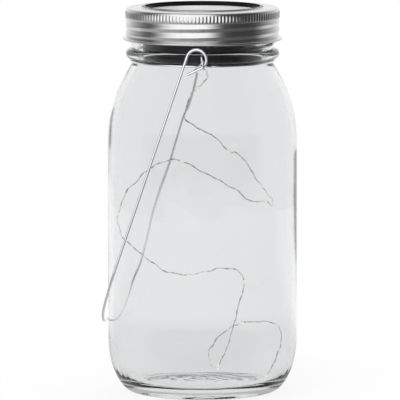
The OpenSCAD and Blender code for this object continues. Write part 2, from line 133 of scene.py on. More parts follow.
class BailSettings(bpy.types.PropertyGroup):
    """The bail"""
    wire: length("Wire", "Radius of the wire", 0.8 * MM)
    half_span: length("Half span", "From the middle to a leg", 57 * MM)
    drop: length("Drop", "From the hooks' line to the far end", 168 * MM)
    rise: length("Rise", "From the far end up to where the legs begin", 38 * MM)
    corner: length("Corner", "Radius between a leg and the far end", 32.5 * MM)
    hook: length("Hook", "Radius of a hook's bend", 5.7 * MM)
    hook_rise: length("Hook rise", "From the hooks' line up to the bend's centre", 2.4 * MM)
    tail: length("Tail", "Straight end of a hook", 8.6 * MM)
    skew: length("Skew", "How far each leg stands beside the ears' line", 6.5 * MM)
    line_shift: length("Line shift", "Place of the hooks' line along X", -3.15 * MM, -0.1)
    line_height: length("Line height", "Height of the hooks' line", 200.2 * MM)
    gap: length("Gap", "Between the resting bail and the glass", 0.3 * MM)
    sweep: FloatProperty(name="Sweep", description="Angle of a hook's bend",
                         default=math.radians(226), subtype="ANGLE")


class StringSettings(bpy.types.PropertyGroup):
    """The string of lights"""
    diameter: length("Diameter", "Over both twisted wires", 0.9 * MM)
    lay: length("Lay", "Length of one twist", 9 * MM)
    drop_radius: length("Drop", "Radius of a resin drop", 1.6 * MM)
    wire_colour: tint("Wire", "Colour of the thin wires", (0.70, 0.70, 0.71))
    drop_colour: tint("Drop", "Colour of the clear resin", (0.93, 0.92, 0.86))
    light_colour: tint("Light", "Colour of the unlit light", (0.95, 0.89, 0.62))


class StudioSettings(bpy.types.PropertyGroup):
    """Camera, floor and lights"""
    aim_height: length("Aim height", "Height that the camera looks at", 112.4 * MM)
    camera_height: length("Camera height", "Height of the camera", 444 * MM)
    camera_back: length("Camera distance", "From the axis back to the camera", 2.66)
    view_width: length("View width", "Width of the view at the axis", 235.6 * MM)
    view_shift: length("View shift", "Place of the view's middle along X", -1.4725 * MM, -0.1)
    floor_radius: length("Floor radius", "Radius of the floor", 0.9)
    floor_colour: tint("Floor", "Colour of the floor", (0.92, 0.92, 0.92))


SETTINGS = {
    "lantern_jar": JarSettings,
    "lantern_band": BandSettings,
    "lantern_wire": WireSettings,
    "lantern_bail": BailSettings,
    "lantern_string": StringSettings,
    "lantern_studio": StudioSettings,
}


def setting(name):
    """One of the groups of sizes and colours above."""
    return getattr(bpy.context.scene, "lantern_" + name)


# --- Outlines ---


def bezier(a, b, c, d, steps):
    """Points of a Bezier curve in the (radius, height) plane."""
    points = []
    for i in range(steps + 1):
        t = i / steps
        u = 1 - t
        points.append(tuple(u ** 3 * p + 3 * u * u * t * q + 3 * u * t * t * r + t ** 3 * s
                            for p, q, r, s in zip(a, b, c, d)))
    return points


def around(steps):
    """Angles at equal steps round a full turn."""
    return [TURN * i / steps for i in range(steps)]


def arc(centre, radius, start, end, steps):
    """Points of an arc in the (radius, height) plane; angles in degrees."""
    angles = [math.radians(start + (end - start) * i / steps) for i in range(steps + 1)]
    return [(centre[0] + radius * math.cos(a), centre[1] + radius * math.sin(a)) for a in angles]


def rows(radius, start, end, step):
    """Points down or up a straight wall, about a step apart."""
    count = max(1, round(abs(end - start) / step))
    return [(radius, start + (end - start) * i / count) for i in range(1, count)]


def smooth(low, high, value):
    """0 below low, 1 above high and a soft step between; low may be above high."""
    t = min(1, max(0, (value - low) / (high - low)))
    return t * t * (3 - 2 * t)


def catmull(points, steps):
    """Points on a smooth curve through the given ones."""
    ends = [points[0], *points, points[-1]]
    curve = []
    for a, b, c, d in zip(ends, ends[1:], ends[2:], ends[3:]):
        for i in range(steps):
            t = i / steps
            curve.append(0.5 * (2 * b + (c - a) * t + (2 * a - 5 * b + 4 * c - d) * t * t
                                + (3 * b - a - 3 * c + d) * t ** 3))
    return curve + [points[-1]]


# --- Modelling steps ---


def deselect():
    """Leaves nothing selected, in object mode."""
    if bpy.context.object and bpy.context.object.mode != "OBJECT":
        bpy.ops.object.mode_set(mode="OBJECT")
    bpy.ops.object.select_all(action="DESELECT")


def pick(*pieces):
    """Selects these pieces alone, in object mode, with the first one active."""
    deselect()
    for piece in pieces:
        piece.select_set(True)
    bpy.context.view_layer.objects.active = pieces[0]


def take(name):
    """Names the new primitive and puts its place into its mesh."""
    obj = bpy.context.object
    obj.name = obj.data.name = name
    bpy.ops.object.transform_apply(location=True, rotation=True, scale=True)
    return obj


def edit_all():
    """Edit mode with everything selected."""
    bpy.ops.object.mode_set(mode="EDIT")
    bpy.ops.mesh.select_all(action="SELECT")


def lathe(name, outline, steps, closed=False):
    """Spins an outline of (radius, height) points about the Z axis."""
    deselect()
    points = [Vector((r, 0, z)) for r, z in outline]
    if closed:
        points.append(points[0])
    bpy.ops.mesh.primitive_plane_add(size=MM, location=points[0])
    obj = take(name)
    edit_all()
    bpy.ops.mesh.merge(type="CENTER")
    for a, b in zip(points, points[1:]):
        bpy.ops.mesh.extrude_region_move(TRANSFORM_OT_translate={"value": b - a})
    bpy.ops.mesh.select_all(action="SELECT")
    bpy.ops.mesh.spin(steps=steps, angle=TURN, center=(0, 0, 0), axis=(0, 0, 1))
    clean(1e-3 * MM)
    return obj


def clean(gap):
    """Merges doubles and turns all faces outwards."""
    bpy.ops.mesh.select_all(action="SELECT")
    bpy.ops.mesh.remove_doubles(threshold=gap)
    bpy.ops.mesh.normals_make_consistent(inside=False)
    bpy.ops.object.mode_set(mode="OBJECT")


def sculpt(obj, move):
    """Moves each point of a mesh to where move(radius, angle, height) says."""
    for vertex in obj.data.vertices:
        x, y, z = vertex.co
        r, a, z = move(math.hypot(x, y), math.atan2(y, x), z)
        vertex.co = (r * math.cos(a), r * math.sin(a), z)
    obj.data.update()


def soften(obj, angle=40):
    """Smooth shading, with edges sharper than the angle kept."""
    pick(obj)
    bpy.ops.object.shade_smooth_by_angle(angle=math.radians(angle))
    return obj


def tube(name, points, radius, sides, cyclic=False):
    """A round wire through the points, as a closed mesh."""
    deselect()
    bpy.ops.curve.primitive_bezier_curve_add(location=(0, 0, 0))
    obj = bpy.context.object
    obj.name = obj.data.name = name
    curve = obj.data
    curve.splines.clear()
    spline = curve.splines.new("POLY")
    spline.points.add(len(points) - 1)
    for place, point in zip(spline.points, points):
        place.co = (*point, 1)
    spline.use_cyclic_u = cyclic
    curve.dimensions = "3D"
    curve.twist_mode = "MINIMUM"
    curve.bevel_depth = radius
    curve.bevel_resolution = sides // 2 - 2
    curve.use_fill_caps = not cyclic
    bpy.ops.object.convert(target="MESH")
    edit_all()
    clean(1e-3 * MM)
    return soften(bpy.context.object)


def join(name, parts):
    """Joins pieces into one."""
    pick(*parts)
    bpy.ops.object.join()
    parts[0].name = parts[0].data.name = name
    return parts[0]


def copy_to(model, name, point, side, across):
    """A copy of a piece with its own mesh, set down at a point and turned along two directions."""
    pick(model)
    bpy.ops.object.duplicate()
    turned = Matrix((side, across, side.cross(across))).transposed().to_4x4()
    bpy.context.object.matrix_world = Matrix.Translation(point) @ turned
    return take(name)


def dress(obj, material, body=None, nodes=()):
    """Gives a piece its material, the body it rides on and the nodes it stands for."""
    if obj.material_slots:
        for place in obj.material_slots:
            place.material = material
    else:
        obj.data.materials.append(material)
    if body:
        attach(obj, body)
    if nodes:
        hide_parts(*nodes)
    return obj


# --- Materials ---


class Wave:
    """A shader socket; arithmetic on it adds Math nodes."""

    def __init__(self, paint, socket):
        self.paint = paint
        self.socket = socket

    def math(self, operation, *others):
        """One Math node on this socket and others."""
        values = dict(enumerate((self, *others)))
        node = self.paint.node("ShaderNodeMath", {"operation": operation}, values)
        return Wave(self.paint, node.outputs[0])

    def __add__(self, other):
        return self.math("ADD", other)

    def __sub__(self, other):
        return self.math("SUBTRACT", other)

    def __mul__(self, other):
        return self.math("MULTIPLY", other)

    def __rsub__(self, other):
        return (self * -1) + other

    def __gt__(self, other):
        return self.math("GREATER_THAN", other)

    def __lt__(self, other):
        return self.math("LESS_THAN", other)

    def __abs__(self):
        return self.math("ABSOLUTE")

    def __mod__(self, other):
        return self.math("FLOORED_MODULO", other)

    def between(self, low, high):
        """A soft step from 0 at low to 1 at high."""
        node = self.paint.node(
            "ShaderNodeMapRange", {"interpolation_type": "SMOOTHSTEP"},
            {"Value": self, "From Min": low, "From Max": high})
        return Wave(self.paint, node.outputs[0])


class Graph:
    """A shader's node tree, built up by expressions."""

    def __init__(self, tree):
        self.tree = tree
        self.tree.nodes.clear()

    def node(self, kind, settings=None, inputs=None):
        """Adds a node with its settings, then its sockets' values or links."""
        node = self.tree.nodes.new(kind)
        for key, value in (settings or {}).items():
            setattr(node, key, value)
        for key, value in (inputs or {}).items():
            self.plug(node.inputs[key], value)
        return node

    def plug(self, socket, value):
        """Links or sets one socket."""
        if isinstance(value, Wave):
            value = value.socket
        if isinstance(value, bpy.types.NodeSocket):
            self.tree.links.new(value, socket)
        elif hasattr(value, "__len__"):
            value = tuple(value)
            four = socket.type == "RGBA" and len(value) == 3
            socket.default_value = value + (1,) if four else value
        else:
            socket.default_value = value

    def split(self, vector):
        """The three parts of a vector."""
        node = self.node("ShaderNodeSeparateXYZ", None, {0: vector})
        return [Wave(self, part) for part in node.outputs]

    def rays(self, *kinds):
        """1 or 0 for each kind of ray: Camera, Glossy, Singular or Transmission."""
        path = self.node("ShaderNodeLightPath")
        return [Wave(self, path.outputs[f"Is {kind} Ray"]) for kind in kinds]

    def mirrored_once(self):
        """1 for light that one surface has mirrored on its way."""
        path = self.node("ShaderNodeLightPath")
        return abs(Wave(self, path.outputs["Glossy Depth"]) - 1) < 0.5

    def slant(self, low, high):
        """A soft step from 0 where a face is seen straight to 1 where it is seen at a slant."""
        facing = self.node("ShaderNodeLayerWeight", None, {"Blend": 0.5}).outputs["Facing"]
        return Wave(self, facing).between(low, high)


class Paint(Graph):
    """A material with one Principled BSDF."""

    def __init__(self, name, **inputs):
        self.material = bpy.data.materials.new(name)
        self.material.use_nodes = True
        super().__init__(self.material.node_tree)
        self.output = self.node("ShaderNodeOutputMaterial")
        self.bsdf = self.node("ShaderNodeBsdfPrincipled")
        self.plug(self.output.inputs["Surface"], self.bsdf.outputs[0])
        self.places = self.node("ShaderNodeTexCoord").outputs["Object"]
        for key, value in inputs.items():
            self.put(key.replace("_", " "), value)

    def put(self, key, value):
        """Sets or links a socket of the Principled BSDF."""
        self.plug(self.bsdf.inputs[key], value)

    def noise(self, scale, detail=2.0, stretch=(1, 1, 1)):
        """Noise from 0 to 1 at a scale in features per metre."""
        mapped = self.node("ShaderNodeMapping", None, {"Vector": self.places, "Scale": stretch})
        node = self.node("ShaderNodeTexNoise", None,
                         {"Vector": mapped.outputs[0], "Scale": scale, "Detail": detail})
        return Wave(self, node.outputs["Fac"])

    def blend(self, mask, first, second):
        """A colour between two colours or links."""
        node = self.node("ShaderNodeMix", {"data_type": "RGBA"})
        self.plug(node.inputs["Factor"], mask)
        self.plug(node.inputs[6], first)
        self.plug(node.inputs[7], second)
        return node.outputs[2]

    def tones(self, mask, colour, dark, light):
        """Two shades of a colour, mixed by a mask, on Base Color."""
        self.put("Base Color", self.blend(mask, shade(colour, dark), shade(colour, light)))

    def bump(self, height, depth, strength):
        """A bump of a depth in metres, on Normal."""
        node = self.node("ShaderNodeBump", None,
                         {"Strength": strength, "Distance": depth, "Height": height})
        self.put("Normal", node.outputs[0])


def shade(colour, factor):
    """A colour made darker or lighter."""
    return tuple(min(1.0, c * factor) for c in colour)


def glass_material():
    """Clear soda glass: faint green in its depth, slightly uneven skin."""
    jar = setting("jar")
    paint = Paint("clear_soda_glass", Base_Color=jar.glass_colour, Roughness=0.0,
                  IOR=1.5, Transmission_Weight=1.0)
    depth = paint.node("ShaderNodeVolumeAbsorption", None,
                       {"Color": jar.depth_colour, "Density": 9.0})
    paint.tree.links.new(depth.outputs[0], paint.output.inputs["Volume"])
    waves = paint.noise(45, 1.0, (1, 1, 0.35))
    paint.bump(waves, 0.12 * MM, 0.35)
    return paint.material


def tinplate_material():
    """Satin tinplate: fine rolling lines and soft blotches."""
    paint = Paint("satin_tinplate", Metallic=1.0, IOR=1.5)
    blotches = paint.noise(260, 3.0)
    lines = paint.noise(900, 2.0, (0.15, 0.15, 3.0))
    paint.tones(blotches, setting("band").colour, 0.92, 1.06)
    paint.put("Roughness", blotches * 0.06 + lines * 0.04 + 0.18)
    paint.bump(lines, 0.02 * MM, 0.3)
    return paint.material


def wire_material():
    """Bright drawn wire with faint draw marks."""
    paint = Paint("bright_drawn_wire", Metallic=1.0)
    marks = paint.noise(1500, 2.0, (1, 1, 0.08))
    paint.tones(marks, setting("wire").colour, 0.9, 1.08)
    paint.put("Roughness", marks * 0.06 + 0.03)
    return paint.material


def plastic_material(name, colour, rough, grain=900, gloss=0.5, glow=0.0):
    """Moulded plastic with a fine grain; a glow above nought is painted light in its own colour.
    """
    paint = Paint(name, IOR=1.5, Specular_IOR_Level=gloss, Emission_Color=colour,
                  Emission_Strength=glow)
    spots = paint.noise(grain, 3.0)
    paint.tones(spots, colour, 0.85, 1.15)
    paint.put("Roughness", spots * 0.12 + (rough - 0.06))
    paint.bump(spots, 0.01 * MM, 0.4)
    return paint.material


def steel_material():
    """Plated steel with faint handling marks."""
    paint = Paint("plated_steel", Metallic=1.0)
    marks = paint.noise(800, 3.0)
    paint.tones(marks, (0.66, 0.66, 0.67), 0.85, 1.1)
    paint.put("Roughness", marks * 0.15 + 0.18)
    return paint.material


def solar_material():
    """Dark solar cell with fine silver fingers and two bus bars."""
    paint = Paint("solar_cell_glaze", Roughness=0.3)
    x, y = paint.split(paint.places)[:2]
    fingers = (x % (2.2 * MM)) < (0.14 * MM)
    bars = abs(abs(y) - 11 * MM) < (0.55 * MM)
    cuts = abs(x % (23 * MM) - 11.5 * MM) > (11.2 * MM)
    lines = fingers.math("MAXIMUM", bars).math("MINIMUM", 1 - cuts)
    cell = paint.blend(paint.noise(120), (0.015, 0.02, 0.045), (0.03, 0.04, 0.085))
    paint.put("Base Color", paint.blend(lines, cell, (0.55, 0.56, 0.57)))
    return paint.material


def cover_material():
    """Clear plastic cover, which fine dust makes pale when seen at a slant."""
    paint = Paint("clear_window_plastic", Base_Color=(0.94, 0.97, 0.955), IOR=1.49,
                  Transmission_Weight=0.95, Coat_Weight=0.5, Coat_Roughness=0.5,
                  Sheen_Weight=1.0, Sheen_Roughness=0.3)
    paint.put("Roughness", paint.noise(300) * 0.05 + paint.slant(0.55, 0.85) * 0.55 + 0.03)
    return paint.material


def board_material():
    """Green board with lighter tracks."""
    paint = Paint("board_lacquer", Roughness=0.35)
    x, y = paint.split(paint.places)[:2]
    tracks = ((x + y) % (3.1 * MM)) < (0.7 * MM)
    paint.put("Base Color", paint.blend(tracks, (0.01, 0.10, 0.04), (0.03, 0.22, 0.09)))
    return paint.material


def banded_material(name, first, second, spacing, axis):
    """Rings of two colours along an axis, such as windings or a printed sleeve."""
    paint = Paint(name, Roughness=0.35)
    place = paint.split(paint.places)[axis]
    rings = (place % spacing) < (spacing * 0.5)
    paint.put("Base Color", paint.blend(rings, first, second))
    return paint.material


def resin_material(colour):
    """Clear resin over a small light: pale in the middle, with painted shade round its edge and a
    faint painted glow.
    """
    paint = Paint("clear_drop_resin", IOR=1.5, Transmission_Weight=0.6, Emission_Strength=0.24)
    clouds = paint.noise(900)
    pale = paint.blend(clouds, shade(colour, 0.96), shade(colour, 1.04))
    # Painted shade: the colour darkens to 0.4 of itself where the drop is seen at a slant, round
    # its edge.
    resin = paint.blend(paint.slant(0.45, 0.95), pale, shade(colour, 0.4))
    paint.put("Base Color", resin)
    # Painted glow: the drop glows faintly in its own colours, though its light is unlit.
    paint.put("Emission Color", resin)
    paint.put("Roughness", clouds * 0.06 + 0.05)
    return paint.material


# --- The string of lights ---

# Points that the string passes, from the grommet to its last light, in millimetres
ROUTE = [Vector(p) * MM for p in (
    (0, -14, 190), (3, -12, 185), (-3, -8, 179), (-7, 2, 175), (-10, -3, 162),
    (-2, -10, 156), (8, -18, 151), (15, -25, 144), (19, -27, 144), (25, -27, 138),
    (31, -28, 128), (40, -17, 115), (40, -12, 111), (37, -8, 113), (29, -2, 112),
    (20, 4, 118), (6, 9, 125), (-12, 15, 134), (-20, 16, 134), (-30, 18, 130),
    (-44, 11, 118), (-50, 2, 104), (-50, -1, 97), (-44, -4, 88), (-24, -2, 72),
    (-9, 2, 68), (9, 18, 69), (20, 16, 69), (25, 6, 63), (22, -2, 53),
    (15, -12, 28), (9, -18, 17), (4, -22, 20), (5, -20, 28), (13, -14, 36),
    (23, -4, 40), (35, 1, 40), (43, 4, 38), (47, 3, 29), (38, -11, 9))]
# Numbers of the points that carry a light
LIGHTS_AT = (2, 7, 13, 17, 21, 25, 28, 31, 35, 39)
# Points of the path from one point of the route to the next
CUTS = 14


def frames_along(points):
    """For each point of a route: the point, and two directions across it without twist."""
    side = Vector((1, 0, 0))
    found = []
    for i, point in enumerate(points):
        along = (points[min(i + 1, len(points) - 1)] - points[max(i - 1, 0)]).normalized()
        side = (side - along * side.dot(along)).normalized()
        found.append((point, side.copy(), along.cross(side)))
    return found


def run_of(points):
    """Length of a line of points."""
    return sum((b - a).length for a, b in zip(points, points[1:]))


class LANTERN_OT_light_string(bpy.types.Operator):
    """Adds the twisted pair of thin wires that carries the lights"""
    bl_idname = "lantern.light_string"
    bl_label = "Light string"

    def execute(self, context):
        sizes = setting("string")
        path = catmull(ROUTE, CUTS)
        strand = sizes.diameter / 4
        run = 0.0
        strands = [[], []]
        last = path[0]

        def kink(long, short):
            """A bend that comes and goes along the run."""
            return math.sin(TURN * run / (short * MM)) * math.sin(TURN * run / (long * MM))

        for point, side, across in frames_along(path):
            run += (point - last).length
            last = point
            middle = point + (0.5 * kink(71, 13) * side + 0.35 * kink(47, 9) * across) * MM
            for half, line in enumerate(strands):
                a = TURN * run / sizes.lay + math.pi * half
                line.append(middle + strand * 1.15 * (math.cos(a) * side + math.sin(a) * across))
        wires = [tube(f"strand_{n}", line, strand * 0.92, 8) for n, line in enumerate(strands)]
        string = join("light_wire", wires)
        paint = Paint("thin_silver_wire", Metallic=1.0)
        # Painted highlights: the lighter patches along the wire, up to 1.5 times its colour, stand
        # in for glints.
        marks = paint.noise(330, 1.0).between(0.38, 0.62)
        paint.tones(marks, sizes.wire_colour, 0.9, 1.5)
        paint.put("Roughness", marks * 0.1 + 0.05)
        dress(string, paint.material, "light_unit", ["light_string"])
        drops = self.drops(path, sizes)
        run_of(path)
        return {"FINISHED"}

    def drops(self, path, sizes):
        """A resin drop with its small light inside, at each light's place."""
        resin = resin_material(sizes.drop_colour)
        # Painted glow: the unlit light's chip glows faintly in its own colour.
        phosphor = plastic_material("light_phosphor", sizes.light_colour, 0.4, glow=0.3)
        drop, chip = self.drop(sizes.drop_radius), self.chip()
        places = frames_along(path)
        made = []
        for number, at in enumerate(LIGHTS_AT, 1):
            place = places[min(at * CUTS, len(places) - 1)]
            made.append(dress(copy_to(drop, f"drop_{number:02d}", *place), resin,
                              "light_unit", [f"led_{number:02d}"]))
            made.append(dress(copy_to(chip, f"light_{number:02d}", *place), phosphor,
                              "light_unit"))
        pick(drop, chip)
        bpy.ops.object.delete()
        return made

    def drop(self, radius):
        """A drop of resin, thicker towards its upper end."""
        deselect()
        bpy.ops.mesh.primitive_uv_sphere_add(segments=24, ring_count=16, radius=radius)
        drop = take("drop_model")
        sculpt(drop, lambda r, a, z: (r * (0.82 + 0.1 * z / radius), a, z))
        return soften(drop, 180)

    def chip(self):
        """A small light with its edges rounded."""
        deselect()
        bpy.ops.mesh.primitive_cube_add(size=MM)
        chip = take("chip_model")
        edit_all()
        bpy.ops.transform.resize(value=(1.1, 0.7, 1.4))
        bpy.ops.object.mode_set(mode="OBJECT")
        bpy.ops.object.modifier_add(type="BEVEL")
        chip.modifiers[-1].width = 0.12 * MM
        chip.modifiers[-1].segments = 2
        bpy.ops.object.modifier_apply(modifier=chip.modifiers[-1].name)
        return chip


# --- The jar ---


class LANTERN_OT_jar(bpy.types.Operator):
    """Adds the glass jar with its heel, shoulder, bead and screw thread"""
    bl_idname = "lantern.jar"
    bl_label = "Jar"

    def execute(self, context):
        jar = setting("jar")
        neck_z = jar.rim_height - jar.neck_height
        shoulder_z = neck_z - jar.shoulder_height
        bead_z = jar.rim_height - jar.bead_drop
        outline = self.outside(jar, neck_z, shoulder_z, bead_z)
        outline += self.inside(jar, neck_z, shoulder_z)
        shell = lathe("jar_glass", outline, jar.steps)
        sculpt(shell, self.relief(jar, bead_z))
        soften(shell, 50)
        dress(shell, glass_material(), "jar", ["jar"])
        return {"FINISHED"}

    def outside(self, jar, neck_z, shoulder_z, bead_z):
        """From the middle of the underside up to the rim."""
        body, neck, foot = jar.body_radius, jar.neck_radius, jar.foot_radius
        round_off = jar.bead_round
        groove = neck - 0.3 * MM
        heel_k = 0.43
        line = bezier((0, jar.push_up), (foot * 0.55, jar.push_up),
                      (foot - 12 * MM, jar.push_up * 0.7), (foot - 8 * MM, 0), 24)
        line += [(foot - 6 * MM, 0), (foot - 3 * MM, 0)]
        line += bezier((foot, 0), (foot + (body - foot) * heel_k, 0),
                       (body, jar.heel_height * heel_k), (body, jar.heel_height), 24)
        line += rows(body, jar.heel_height, shoulder_z, 6 * MM)
        line += bezier((body, shoulder_z), (body, shoulder_z + jar.shoulder_height * 0.617),
                       (neck + 5.6 * MM, neck_z - 10.6 * MM), (neck + 0.2 * MM, neck_z), 28)
        line += [(groove, neck_z + 1.4 * MM), (groove, bead_z - round_off - 0.2 * MM),
                 (neck, bead_z - round_off + 0.1 * MM)]
        line += arc((jar.bead_radius - round_off, bead_z), round_off, -75, 75, 14)
        line += [(neck, bead_z + round_off)]
        line += rows(neck, bead_z + round_off, jar.rim_height - 1.6 * MM, 0.6 * MM)
        return line + arc((neck - 1.2 * MM, jar.rim_height - 1.2 * MM), 1.2 * MM, 0, 90, 5)

    def inside(self, jar, neck_z, shoulder_z):
        """From the rim down to the middle of the floor."""
        mouth, foot, rim = jar.mouth_radius, jar.foot_radius, jar.rim_height
        inner = jar.body_radius - jar.wall
        heel_top = jar.heel_height + 2 * MM
        line = arc((mouth + 0.9 * MM, rim - 0.9 * MM), 0.9 * MM, 90, 180, 4)
        line += rows(mouth, rim - 0.9 * MM, neck_z - 1 * MM, 3 * MM)
        line += bezier((mouth, neck_z - 1 * MM), (mouth + 5.6 * MM, neck_z - 13 * MM),
                       (inner, shoulder_z + jar.shoulder_height * 0.6), (inner, shoulder_z), 24)
        line += rows(inner, shoulder_z, heel_top, 4 * MM)
        line += bezier((inner, heel_top), (inner, jar.base + 6 * MM),
                       (foot + 5 * MM, jar.base), (foot - 7 * MM, jar.base), 24)
        return line + [((foot - 7 * MM) * (1 - i / 26), jar.base) for i in range(1, 27)]

    def relief(self, jar, bead_z):
        """The thread, the foot's pads and the waves of pressed glass."""
        foot, base = jar.foot_radius, jar.base
        inner = jar.body_radius - jar.wall
        lowest, highest = bead_z + 7 * MM, jar.rim_height - 3 * MM

        def thread(a, z):
            out = 0
            for lap in range(-1, 4):
                ridge = lowest + jar.pitch * (a / TURN + lap)
                ends = smooth(lowest - 2 * MM, lowest + 1 * MM, ridge)
                ends *= smooth(highest + 1 * MM, highest - 2 * MM, ridge)
                out += jar.thread_depth * ends * math.exp(-((z - ridge) / jar.thread_width) ** 2)
            return out

        def pad(r, a):
            across = math.sin(math.pi * (r - foot + 2 * MM) / (5 * MM))
            return jar.pad_height * across * (round(2 * jar.pads * a / TURN) % 2)

        def ripple(r, a, edge, spacing, height, phase):
            fade = smooth(0, 6 * MM, r) * smooth(edge, foot - 15 * MM, r)
            wave = math.sin(TURN * r / spacing + 1.4 * math.sin(2 * a + phase))
            wave += 0.6 * math.sin(5 * a + r / (3 * MM)) + 0.4 * math.sin(11 * a - r / (2 * MM))
            return height * fade * wave

        def lump(a, z):
            low = smooth(jar.heel_height + 8 * MM, jar.heel_height - 12 * MM, z)
            out = math.sin(3 * a + z * 25) + 0.8 * math.sin(7 * a - z * 30 + 1.3)
            out += 0.7 * math.sin(13 * a + z * 40 + 0.6) + 0.5 * math.sin(2 * a + z * 90)
            out += 0.25 * math.sin(9 * a + z * 260)
            return jar.waviness * (out + 0.3 * low * math.sin(43 * a + 3 * math.sin(5 * a)))

        def move(r, a, z):
            if r > jar.neck_radius - 0.01 * MM and bead_z + 4 * MM < z < jar.rim_height - 1.5 * MM:
                r += thread(a, z)
            elif foot - 2 * MM < r < foot + 3 * MM and z < 1.2 * MM:
                z += pad(r, a)
            elif r < foot - 8 * MM and z < base - 1 * MM:
                z += ripple(r, a, foot - 9 * MM, 5.5 * MM, jar.foot_waves, 1)
            elif r < foot - 8 * MM or (r < foot and abs(z - base) < 1 * MM):
                z += ripple(r, a, foot + 2 * MM, 7.5 * MM, jar.floor_waves, 0)
            elif jar.mouth_radius + 1 * MM < r < inner + 0.5 * MM and z > base + 3 * MM:
                r += lump(a, z)
            return r, a, z

        return move


# --- The screw band ---


class LANTERN_OT_band(bpy.types.Operator):
    """Adds the tinplate screw band with its knurls, rolled thread and curled lip"""
    bl_idname = "lantern.band"
    bl_label = "Screw band"

    def execute(self, context):
        band = setting("band")
        top, side, sheet = band.top, band.side_radius, band.sheet
        turn_in = 1.6 * MM
        edge = (side - turn_in, top - turn_in)
        facets = 4 * band.knurls
        knurl_top = top - 1.5 * MM
        knurl_foot = knurl_top - band.knurl_height
        roll_top = knurl_foot - 0.3 * MM
        roll_foot = band.foot + 2.4 * MM
        lip = 0.75 * MM
        lip_at = (band.lip_radius - lip, band.foot + lip)
        collar = band.window_radius
        outer = [(collar, top - sheet), (collar, top + 0.5 * MM)]
        outer += arc((collar + 0.22 * MM, top + 0.5 * MM), 0.22 * MM, 150, 20, 4)
        outer += [(collar + 0.5 * MM, top + 0.3 * MM), (collar + 0.75 * MM, top + 0.05 * MM),
                  (collar + 1.1 * MM, top), (side - 7 * MM, top), (side - 2.3 * MM, top),
                  (side - 2 * MM, top - 0.14 * MM), (side - 1.7 * MM, top)]
        outer += arc(edge, turn_in, 84, 6, 8)
        outer += [(side, z) for z in (knurl_top, knurl_top - 0.35 * MM, knurl_top - 0.7 * MM,
                                      knurl_foot + 2 * MM, knurl_foot + 0.5 * MM,
                                      knurl_foot + 0.1 * MM, knurl_foot, knurl_foot - 0.1 * MM)]
        outer += [(side, roll_top), *rows(side, roll_top, roll_foot, 0.36 * MM),
                  (side, roll_foot), (side - 0.15 * MM, roll_foot - 0.5 * MM),
                  (side + 0.25 * MM, roll_foot - 0.85 * MM)]
        outer += arc(lip_at, lip, 95, -150, 12)
        inner = [(side - 0.2 * MM, roll_foot - 1.1 * MM),
                 (side - sheet - 0.1 * MM, roll_foot - 0.4 * MM)]
        inner += rows(side - sheet, roll_foot, roll_top, 0.72 * MM)
        inner += [(side - sheet, roll_top), (side - sheet, knurl_top)]
        inner += arc(edge, turn_in - sheet, 0, 90, 5)
        shell = lathe("band_shell", outer + inner, facets, closed=True)

        def form(r, a, z):
            if z > roll_top + 0.05 * MM:
                if r > side - 0.05 * MM and knurl_foot - 0.05 * MM < z < knurl_top - 0.3 * MM:
                    step = round(a / TURN * facets) % 4
                    ends = smooth(knurl_top - 0.2 * MM, knurl_top - 0.8 * MM, z)
                    ends *= smooth(knurl_foot, knurl_foot + 0.2 * MM, z)
                    r += band.knurl_out * (0.15 + 0.85 * (step in (1, 2))) * ends
            elif z > roll_foot - 0.7 * MM and r < side + 0.2 * MM:
                ridge = top - 7.7 * MM + band.pitch * a / TURN
                fade = smooth(roll_top + 0.1 * MM, roll_top - 1.2 * MM, z)
                fade *= smooth(roll_foot - 1.2 * MM, roll_foot + 0.6 * MM, z)
                roll = math.cos(TURN * (z - ridge) / band.pitch)
                r += band.roll_depth * (roll * fade - (1 - fade) * 0.6)
            return r, a, z

        sculpt(shell, form)
        soften(shell, 35)
        dress(shell, tinplate_material(), "band", ["screw_band"])
        return {"FINISHED"}


# --- The neck wire and the bail ---


class LANTERN_OT_neck_wire(bpy.types.Operator):
    """Adds the wire round the neck with its two twisted ears"""
    bl_idname = "lantern.neck_wire"
    bl_label = "Neck wire"

    def execute(self, context):
        wire = setting("wire")
        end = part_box("neck_wire")[1].y - 1.3 * MM
        ring = [Vector((wire.ring_radius * math.cos(a), wire.ring_radius * math.sin(a),
                        wire.ring_height)) for a in around(160)]
        parts = [tube("neck_ring", ring, wire.neck_wire, 16, cyclic=True)]
        for side in (-1, 1):
            for half in (-1, 1):
                line = self.rise(wire, side, half) + self.twist(wire, side, half, end - 0.9 * MM)
                parts.append(tube(f"ear_{side}_{half}", catmull(line, 3), wire.strand * 0.98, 12))
            eye = [Vector((side * 0.7 * MM * math.sin(a),
                           side * (end - 0.1 * MM + wire.eye_width * math.cos(a)),
                           wire.ear_height - 0.4 * MM + wire.eye_height * math.sin(a)))
                   for a in around(48)]
            parts.append(tube(f"eye_{side}", eye, wire.eye_wire, 12, cyclic=True))
        whole = join("neck_wire_twist", parts)
        dress(whole, wire_material(), "jar", ["neck_wire"])
        return {"FINISHED"}

    def rise(self, wire, side, half):
        """One strand's way from the ring over the bead."""
        way = ((7.2, 42.0, 0), (4.6, 42.5, 0.05), (2.3, 44.0, 0.4), (1.0, 45.2, 1.7),
               (0.45, 46.4, 2.9))
        return [Vector((half * x * MM, side * y * MM, wire.ring_height + z * MM))
                for x, y, z in way]

    def twist(self, wire, side, half, end):
        """One strand's turns round the ear's line, from the root to the end."""
        line = []
        steps, turns = 48, 2.5
        for i in range(steps + 1):
            t = i / steps
            a = TURN * turns * t + math.pi * (half < 0)
            line.append(Vector((wire.strand * math.cos(a),
                                side * (wire.ear_root + (end - wire.ear_root) * t),
                                wire.ear_height + wire.strand * math.sin(a))))
        return line


